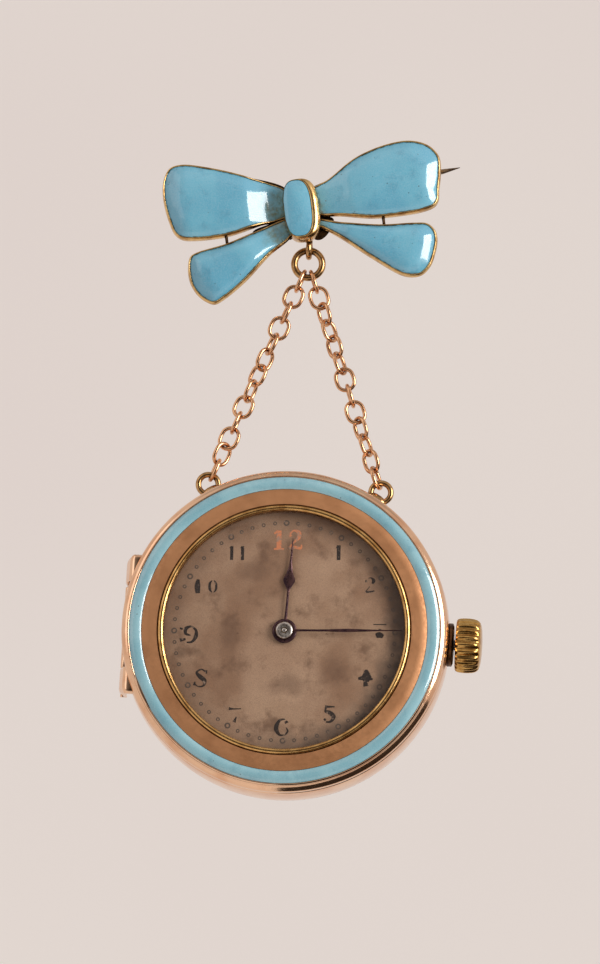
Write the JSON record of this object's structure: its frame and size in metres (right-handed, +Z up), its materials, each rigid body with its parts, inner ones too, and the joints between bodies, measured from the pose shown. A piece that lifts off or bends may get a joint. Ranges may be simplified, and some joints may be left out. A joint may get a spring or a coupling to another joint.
{
  "type": "fob watch",
  "caption": "Lady's hanging fob watch: an enamelled bow brooch with a pin, a V of two fine chains, and a round open-face watch with a blue enamel ring and a side crown.",
  "frame": {"origin": "on the axis of the brooch pin, behind the knot of the bow, where cloth holds it", "axes": "+Z up as it hangs, the dial faces -Y, 3 o'clock and the crown towards +X"},
  "size_m": [0.0307, 0.0071, 0.0571],
  "materials": {
    "rose_gold": "polished rose gold, worn and slightly tarnished",
    "yellow_gold": "tarnished yellow gold wire and plate",
    "blue_enamel": "glossy light blue enamel with tiny pits",
    "pin_steel": "drawn pin wire, dulled",
    "glass": "clear domed glass",
    "dial_face": "aged silvered dial, mottled pinkish brown",
    "hand_steel": "blued steel gone purple-brown",
    "movement_brass": "gilt brass, fine frosted",
    "movement_steel": "polished steel"
  },
  "bodies": {
    "brooch": {"bow_left_loop": "yellow_gold", "bow_right_loop": "yellow_gold", "bow_left_tail": "yellow_gold", "bow_right_tail": "yellow_gold", "bow_ribbon_enamel": "blue_enamel", "bow_knot": "yellow_gold", "bow_knot_enamel": "blue_enamel", "pin_hinge": "yellow_gold", "pin_rivet": "yellow_gold", "pin_catch": "yellow_gold", "drop_eye": "yellow_gold"},
    "pin": {"pin_stem": "pin_steel"},
    "ring": {"jump_ring": "rose_gold"},
    "chain_level_01": {"chain_links_01": "rose_gold"},
    "chain_level_02": {"chain_links_02": "rose_gold"},
    "chain_level_03": {"chain_links_03": "rose_gold"},
    "chain_level_04": {"chain_links_04": "rose_gold"},
    "chain_level_05": {"chain_links_05": "rose_gold"},
    "chain_level_06": {"chain_links_06": "rose_gold"},
    "chain_level_07": {"chain_links_07": "rose_gold"},
    "chain_level_08": {"chain_links_08": "rose_gold"},
    "chain_level_09": {"chain_links_09": "rose_gold"},
    "chain_level_10": {"chain_links_10": "rose_gold"},
    "chain_level_11": {"chain_links_11": "rose_gold"},
    "chain_level_12": {"chain_links_12": "rose_gold"},
    "chain_level_13": {"chain_links_13": "rose_gold"},
    "case": {"case_middle": "rose_gold", "case_eyelets": "rose_gold", "case_hinge_pin": "rose_gold", "pendant_tube": "rose_gold", "dial": "dial_face", "main_plate": "movement_brass", "train_bridge": "movement_brass", "bridge_screws": "movement_steel", "balance_cock": "movement_brass"},
    "bezel": {"bezel": "rose_gold", "bezel_enamel": "blue_enamel", "crystal": "glass"},
    "back": {"case_back": "rose_gold"},
    "setting": {"setting_lever": "movement_steel"},
    "crown": {"crown": "rose_gold", "winding_stem": "movement_steel"},
    "winding_pinion": {"winding_pinion": "movement_steel"},
    "crown_wheel": {"crown_wheel": "movement_steel"},
    "ratchet": {"ratchet_wheel": "movement_steel", "barrel_arbor": "movement_steel"},
    "barrel": {"mainspring_barrel": "movement_brass", "mainspring": "movement_steel"},
    "centre": {"centre_wheel": "movement_brass"},
    "third": {"third_wheel": "movement_brass"},
    "fourth": {"fourth_wheel": "movement_brass"},
    "escape": {"escape_wheel": "movement_steel"},
    "pallet": {"pallet_fork": "movement_steel"},
    "balance": {"balance_wheel": "movement_brass", "hairspring": "movement_steel"},
    "minute": {"cannon_pinion": "movement_steel", "minute_hand": "hand_steel"},
    "minute_work": {"minute_wheel": "movement_brass"},
    "hour": {"hour_wheel": "movement_brass", "hour_hand": "hand_steel"}
  },
  "joints": [
    {"name": "pin_open", "type": "hinge", "parent": "brooch", "child": "pin", "pos_m": [-0.00913, 0, -0.00263], "axis": [-0.2773, 0, 0.9608], "range_deg": [0, 110]},
    {"name": "jump_ring_swing", "type": "hinge", "parent": "brooch", "child": "ring", "pos_m": [0.00119, -0.0003, -0.00466], "axis": [0, 1, 0], "range_deg": [-30, 30]},
    {"name": "link_01_bend", "type": "hinge", "parent": "ring", "child": "chain_level_01", "pos_m": [0.00119, -0.0003, -0.0064], "axis": [1, 0, 0], "range_deg": [-10, 10]},
    {"name": "link_02_bend", "type": "hinge", "parent": "chain_level_01", "child": "chain_level_02", "pos_m": [0.00119, -0.0003, -0.00752], "axis": [1, 0, 0], "range_deg": [-10, 10]},
    {"name": "link_03_bend", "type": "hinge", "parent": "chain_level_02", "child": "chain_level_03", "pos_m": [0.00119, -0.0003, -0.00896], "axis": [1, 0, 0], "range_deg": [-10, 10]},
    {"name": "link_04_bend", "type": "hinge", "parent": "chain_level_03", "child": "chain_level_04", "pos_m": [0.00119, -0.0003, -0.01034], "axis": [1, 0, 0], "range_deg": [-10, 10]},
    {"name": "link_05_bend", "type": "hinge", "parent": "chain_level_04", "child": "chain_level_05", "pos_m": [0.00119, -0.0003, -0.01179], "axis": [1, 0, 0], "range_deg": [-10, 10]},
    {"name": "link_06_bend", "type": "hinge", "parent": "chain_level_05", "child": "chain_level_06", "pos_m": [0.00119, -0.0003, -0.01316], "axis": [1, 0, 0], "range_deg": [-10, 10]},
    {"name": "link_07_bend", "type": "hinge", "parent": "chain_level_06", "child": "chain_level_07", "pos_m": [0.00119, -0.0003, -0.01461], "axis": [1, 0, 0], "range_deg": [-10, 10]},
    {"name": "link_08_bend", "type": "hinge", "parent": "chain_level_07", "child": "chain_level_08", "pos_m": [0.00119, -0.0003, -0.01598], "axis": [1, 0, 0], "range_deg": [-10, 10]},
    {"name": "link_09_bend", "type": "hinge", "parent": "chain_level_08", "child": "chain_level_09", "pos_m": [0.00119, -0.0003, -0.01743], "axis": [1, 0, 0], "range_deg": [-10, 10]},
    {"name": "link_10_bend", "type": "hinge", "parent": "chain_level_09", "child": "chain_level_10", "pos_m": [0.00119, -0.0003, -0.0188], "axis": [1, 0, 0], "range_deg": [-10, 10]},
    {"name": "link_11_bend", "type": "hinge", "parent": "chain_level_10", "child": "chain_level_11", "pos_m": [0.00119, -0.0003, -0.02025], "axis": [1, 0, 0], "range_deg": [-10, 10]},
    {"name": "link_12_bend", "type": "hinge", "parent": "chain_level_11", "child": "chain_level_12", "pos_m": [0.00119, -0.0003, -0.02163], "axis": [1, 0, 0], "range_deg": [-10, 10]},
    {"name": "link_13_bend", "type": "hinge", "parent": "chain_level_12", "child": "chain_level_13", "pos_m": [0.00119, -0.0003, -0.02308], "axis": [1, 0, 0], "range_deg": [-10, 10]},
    {"name": "watch_tilt", "type": "hinge", "parent": "chain_level_13", "child": "case", "pos_m": [0.00119, -0.0003, -0.02423], "axis": [1, 0, 0], "range_deg": [-40, 40]},
    {"name": "bezel_open", "type": "hinge", "parent": "case", "child": "bezel", "pos_m": [-0.01241, 0.0001, -0.03778], "axis": [0, 0, -1], "range_deg": [0, 74]},
    {"name": "back_open", "type": "hinge", "parent": "case", "child": "back", "pos_m": [-0.01241, 0.0001, -0.03778], "axis": [0, 0, 1], "range_deg": [0, 85]},
    {"name": "crown_pull", "type": "slide", "parent": "case", "child": "setting", "axis": [1, 0, 0], "range_m": [0, 0.0005]},
    {"name": "crown_turn", "type": "hinge", "parent": "setting", "child": "crown", "pos_m": [0.01619, 0.0005, -0.03778], "axis": [1, 0, 0], "continuous": true},
    {"name": "winding_pinion_turn", "type": "hinge", "parent": "case", "child": "winding_pinion", "pos_m": [0.00889, 0.0005, -0.03778], "axis": [1, 0, 0], "continuous": true},
    {"name": "crown_wheel_turn", "type": "hinge", "parent": "case", "child": "crown_wheel", "pos_m": [0.00665, 0.0018, -0.03778], "axis": [0, 1, 0], "continuous": true},
    {"name": "ratchet_turn", "type": "hinge", "parent": "case", "child": "ratchet", "pos_m": [0.00349, 0.0018, -0.03306], "axis": [0, 1, 0], "continuous": true},
    {"name": "fourth_turn", "type": "hinge", "parent": "case", "child": "fourth", "pos_m": [-0.00189, 0.0004, -0.04106], "axis": [0, 1, 0], "continuous": true},
    {"name": "centre_turn", "type": "hinge", "parent": "case", "child": "centre", "pos_m": [0.00119, 0.0009, -0.03778], "axis": [0, 1, 0], "continuous": true},
    {"name": "third_turn", "type": "hinge", "parent": "case", "child": "third", "pos_m": [-0.00277, 0, -0.03778], "axis": [0, 1, 0], "continuous": true},
    {"name": "escape_turn", "type": "hinge", "parent": "case", "child": "escape", "pos_m": [-0.00087, 0, -0.04386], "axis": [0, 1, 0], "continuous": true},
    {"name": "barrel_turn", "type": "hinge", "parent": "case", "child": "barrel", "pos_m": [0.00349, 0, -0.03306], "axis": [0, 1, 0], "continuous": true},
    {"name": "pallet_rock", "type": "hinge", "parent": "case", "child": "pallet", "pos_m": [0.00109, 0.0003, -0.04428], "axis": [0, 1, 0], "range_deg": [-5, 5]},
    {"name": "balance_swing", "type": "hinge", "parent": "case", "child": "balance", "pos_m": [0.00449, 0.0006, -0.04378], "axis": [0, 1, 0], "range_deg": [-220, 220], "stiffness_Nm_per_rad": 0.000000025},
    {"name": "hands_turn", "type": "hinge", "parent": "case", "child": "minute", "pos_m": [0.00119, -0.0013, -0.03778], "axis": [0, 1, 0], "continuous": true},
    {"name": "minute_work_turn", "type": "hinge", "parent": "case", "child": "minute_work", "pos_m": [0.00263, -0.0013, -0.04027], "axis": [0, 1, 0], "continuous": true},
    {"name": "hour_turn", "type": "hinge", "parent": "case", "child": "hour", "pos_m": [0.00119, -0.0015, -0.03778], "axis": [0, 1, 0], "continuous": true}
  ],
  "couplings": [
    {"joint": "winding_pinion_turn", "follows": "crown_turn", "ratio": 1},
    {"joint": "crown_wheel_turn", "follows": "crown_turn", "ratio": -0.45161},
    {"joint": "ratchet_turn", "follows": "crown_turn", "ratio": 0.35},
    {"joint": "centre_turn", "follows": "fourth_turn", "ratio": 0.016667},
    {"joint": "third_turn", "follows": "fourth_turn", "ratio": -0.13333},
    {"joint": "escape_turn", "follows": "fourth_turn", "ratio": -10},
    {"joint": "barrel_turn", "follows": "fourth_turn", "ratio": -0.0027778},
    {"joint": "minute_work_turn", "follows": "hands_turn", "ratio": -0.33333},
    {"joint": "hour_turn", "follows": "hands_turn", "ratio": 0.083333}
  ]
}
